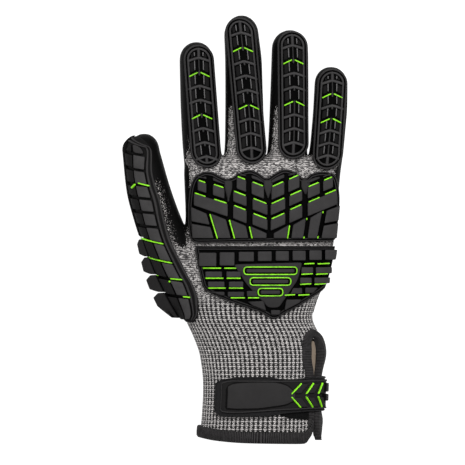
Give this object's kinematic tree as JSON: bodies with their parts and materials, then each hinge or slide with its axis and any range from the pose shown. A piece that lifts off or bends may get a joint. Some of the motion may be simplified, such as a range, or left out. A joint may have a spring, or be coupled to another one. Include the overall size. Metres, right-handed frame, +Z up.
{
  "type": "impact glove",
  "caption": "Right-hand knitted work glove lying palm down, with a dipped palm, moulded rubber impact guards on the back and a wrist strap over a side slit.",
  "frame": {"origin": "middle of the bounding box's underside, on the surface that the glove lies on", "axes": "+Y from the cuff to the fingertips, +X to the little finger, +Z up from the palm to the back of the hand"},
  "size_m": [0.1394, 0.2651, 0.037],
  "materials": {
    "knit": "grey and white marl seamless knit",
    "coating": "black dipped coating, satin, finely textured",
    "guard_rubber": "black moulded rubber, satin, with lime green lines in the grooves",
    "lime_rubber": "bright lime green moulded lines",
    "strap_web": "black woven strap",
    "loop_pile": "black loop fastener pile",
    "binding_tape": "black ribbed elastic binding"
  },
  "bodies": {
    "root": {"knit_shell": "knit", "palm_coating": "coating", "index_guard": "guard_rubber", "middle_guard": "guard_rubber", "ring_guard": "guard_rubber", "little_guard": "guard_rubber", "thumb_guard": "guard_rubber", "knuckle_guard": "guard_rubber", "hand_back_guard": "guard_rubber", "wrist_strap": "strap_web", "strap_pad": "guard_rubber", "loop_patch": "loop_pile", "hem_binding": "binding_tape", "slit_binding": "binding_tape"}
  },
  "joints": []
}
